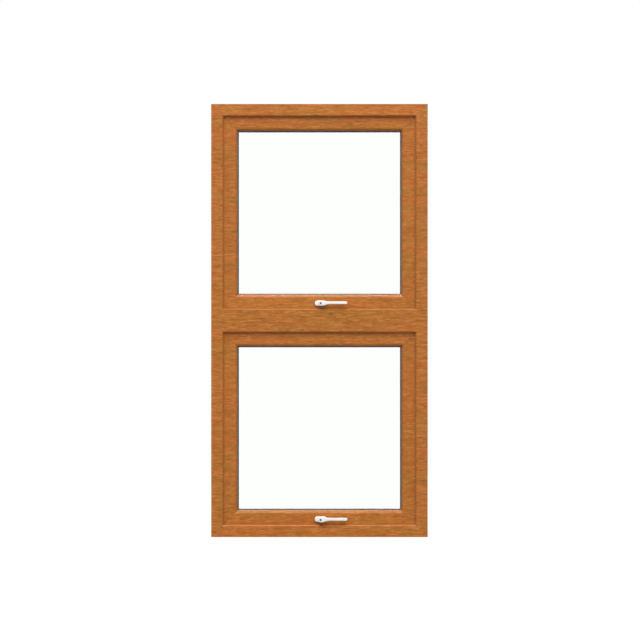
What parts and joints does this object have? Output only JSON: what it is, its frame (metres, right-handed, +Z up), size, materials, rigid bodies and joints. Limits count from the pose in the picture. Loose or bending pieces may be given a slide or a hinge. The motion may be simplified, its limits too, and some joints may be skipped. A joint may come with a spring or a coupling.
{
  "type": "top hung window",
  "caption": "Oak woodgrain window with stacked top hung sashes on friction stays, double glazed, each with a white lever handle.",
  "frame": {"origin": "middle of the sill's underside, half way through the frame's depth", "axes": "+Z up, -Y towards the room, +Y outdoors, +X to the right seen from the room"},
  "size_m": [0.9, 0.0853, 1.8],
  "materials": {
    "oak_foil": "golden oak woodgrain foil on uPVC",
    "epdm_gasket": "black EPDM",
    "glass": "clear float glass",
    "aluminium_spacer": "mill aluminium",
    "galvanised_steel": "galvanised",
    "stainless_steel": "brushed stainless",
    "zinc_lock": "zinc plated",
    "moulded_nylon": "moulded nylon",
    "packer_plastic": "moulded",
    "white_enamel": "white powder coat"
  },
  "bodies": {
    "root": {"frame_steels": "galvanised_steel", "lower_frame_gasket": "epdm_gasket", "lower_keeps": "zinc_lock", "lower_left_track": "stainless_steel", "lower_right_track": "stainless_steel", "outer_frame": "oak_foil", "transom": "oak_foil", "transom_steel": "galvanised_steel", "upper_frame_gasket": "epdm_gasket", "upper_keeps": "zinc_lock", "upper_left_track": "stainless_steel", "upper_right_track": "stainless_steel"},
    "lower_sash": {"lower_bottom_bead": "oak_foil", "lower_gearbox": "zinc_lock", "lower_glazing_packers": "packer_plastic", "lower_handle_base": "white_enamel", "lower_inner_glazing_gasket": "epdm_gasket", "lower_inner_pane": "glass", "lower_left_bead": "oak_foil", "lower_left_sash_arm": "stainless_steel", "lower_lock_faceplate": "zinc_lock", "lower_outer_glazing_gasket": "epdm_gasket", "lower_outer_pane": "glass", "lower_right_bead": "oak_foil", "lower_right_sash_arm": "stainless_steel", "lower_sash_frame": "oak_foil", "lower_sash_steels": "galvanised_steel", "lower_spacer_bar": "aluminium_spacer", "lower_top_bead": "oak_foil"},
    "lower_left_support": {"lower_left_support_arm": "stainless_steel"},
    "lower_right_support": {"lower_right_support_arm": "stainless_steel"},
    "lower_left_shoe_body": {"lower_left_shoe": "moulded_nylon"},
    "lower_right_shoe_body": {"lower_right_shoe": "moulded_nylon"},
    "lower_lock": {"lower_lock_bar": "zinc_lock"},
    "lower_handle": {"lower_handle_lever": "white_enamel", "lower_handle_screw": "stainless_steel"},
    "upper_sash": {"upper_bottom_bead": "oak_foil", "upper_gearbox": "zinc_lock", "upper_glazing_packers": "packer_plastic", "upper_handle_base": "white_enamel", "upper_inner_glazing_gasket": "epdm_gasket", "upper_inner_pane": "glass", "upper_left_bead": "oak_foil", "upper_left_sash_arm": "stainless_steel", "upper_lock_faceplate": "zinc_lock", "upper_outer_glazing_gasket": "epdm_gasket", "upper_outer_pane": "glass", "upper_right_bead": "oak_foil", "upper_right_sash_arm": "stainless_steel", "upper_sash_frame": "oak_foil", "upper_sash_steels": "galvanised_steel", "upper_spacer_bar": "aluminium_spacer", "upper_top_bead": "oak_foil"},
    "upper_left_support": {"upper_left_support_arm": "stainless_steel"},
    "upper_right_support": {"upper_right_support_arm": "stainless_steel"},
    "upper_left_shoe_body": {"upper_left_shoe": "moulded_nylon"},
    "upper_right_shoe_body": {"upper_right_shoe": "moulded_nylon"},
    "upper_lock": {"upper_lock_bar": "zinc_lock"},
    "upper_handle": {"upper_handle_lever": "white_enamel", "upper_handle_screw": "stainless_steel"}
  },
  "joints": [
    {"name": "lower_left_stay", "type": "hinge", "parent": "root", "child": "lower_left_support", "pos_m": [-0.4129, 0.004, 0.457], "axis": [1, 0, 0], "range_deg": [-40, 0]},
    {"name": "lower_sash_tilt", "type": "hinge", "parent": "lower_left_support", "child": "lower_sash", "pos_m": [-0.4129, 0.004, 0.657], "axis": [1, 0, 0], "range_deg": [0, 80]},
    {"name": "lower_right_stay", "type": "hinge", "parent": "root", "child": "lower_right_support", "pos_m": [0.4129, 0.004, 0.457], "axis": [1, 0, 0], "range_deg": [-40, 0]},
    {"name": "lower_left_shoe_pivot", "type": "hinge", "parent": "lower_sash", "child": "lower_left_shoe_body", "pos_m": [-0.4129, 0.004, 0.857], "axis": [1, 0, 0], "range_deg": [-40, 0]},
    {"name": "lower_right_shoe_pivot", "type": "hinge", "parent": "lower_sash", "child": "lower_right_shoe_body", "pos_m": [0.4129, 0.004, 0.857], "axis": [1, 0, 0], "range_deg": [-40, 0]},
    {"name": "lower_handle_turn", "type": "hinge", "parent": "lower_sash", "child": "lower_handle", "pos_m": [0.005, -0.03, 0.073], "axis": [0, -1, 0], "range_deg": [0, 90]},
    {"name": "lower_lock_slide", "type": "slide", "parent": "lower_sash", "child": "lower_lock", "axis": [-1, 0, 0], "range_m": [0, 0.02]},
    {"name": "upper_left_stay", "type": "hinge", "parent": "root", "child": "upper_left_support", "pos_m": [-0.4129, 0.004, 1.356], "axis": [1, 0, 0], "range_deg": [-40, 0]},
    {"name": "upper_sash_tilt", "type": "hinge", "parent": "upper_left_support", "child": "upper_sash", "pos_m": [-0.4129, 0.004, 1.556], "axis": [1, 0, 0], "range_deg": [0, 80]},
    {"name": "upper_right_stay", "type": "hinge", "parent": "root", "child": "upper_right_support", "pos_m": [0.4129, 0.004, 1.356], "axis": [1, 0, 0], "range_deg": [-40, 0]},
    {"name": "upper_left_shoe_pivot", "type": "hinge", "parent": "upper_sash", "child": "upper_left_shoe_body", "pos_m": [-0.4129, 0.004, 1.756], "axis": [1, 0, 0], "range_deg": [-40, 0]},
    {"name": "upper_right_shoe_pivot", "type": "hinge", "parent": "upper_sash", "child": "upper_right_shoe_body", "pos_m": [0.4129, 0.004, 1.756], "axis": [1, 0, 0], "range_deg": [-40, 0]},
    {"name": "upper_handle_turn", "type": "hinge", "parent": "upper_sash", "child": "upper_handle", "pos_m": [0.005, -0.03, 0.972], "axis": [0, -1, 0], "range_deg": [0, 90]},
    {"name": "upper_lock_slide", "type": "slide", "parent": "upper_sash", "child": "upper_lock", "axis": [-1, 0, 0], "range_m": [0, 0.02]}
  ],
  "couplings": [
    {"joint": "lower_left_stay", "follows": "lower_sash_tilt", "ratio": -0.5},
    {"joint": "lower_right_stay", "follows": "lower_sash_tilt", "ratio": -0.5},
    {"joint": "lower_left_shoe_pivot", "follows": "lower_sash_tilt", "ratio": -0.5},
    {"joint": "lower_right_shoe_pivot", "follows": "lower_sash_tilt", "ratio": -0.5},
    {"joint": "lower_lock_slide", "follows": "lower_handle_turn", "m_per_rad": 0.012732},
    {"joint": "upper_left_stay", "follows": "upper_sash_tilt", "ratio": -0.5},
    {"joint": "upper_right_stay", "follows": "upper_sash_tilt", "ratio": -0.5},
    {"joint": "upper_left_shoe_pivot", "follows": "upper_sash_tilt", "ratio": -0.5},
    {"joint": "upper_right_shoe_pivot", "follows": "upper_sash_tilt", "ratio": -0.5},
    {"joint": "upper_lock_slide", "follows": "upper_handle_turn", "m_per_rad": 0.012732}
  ]
}
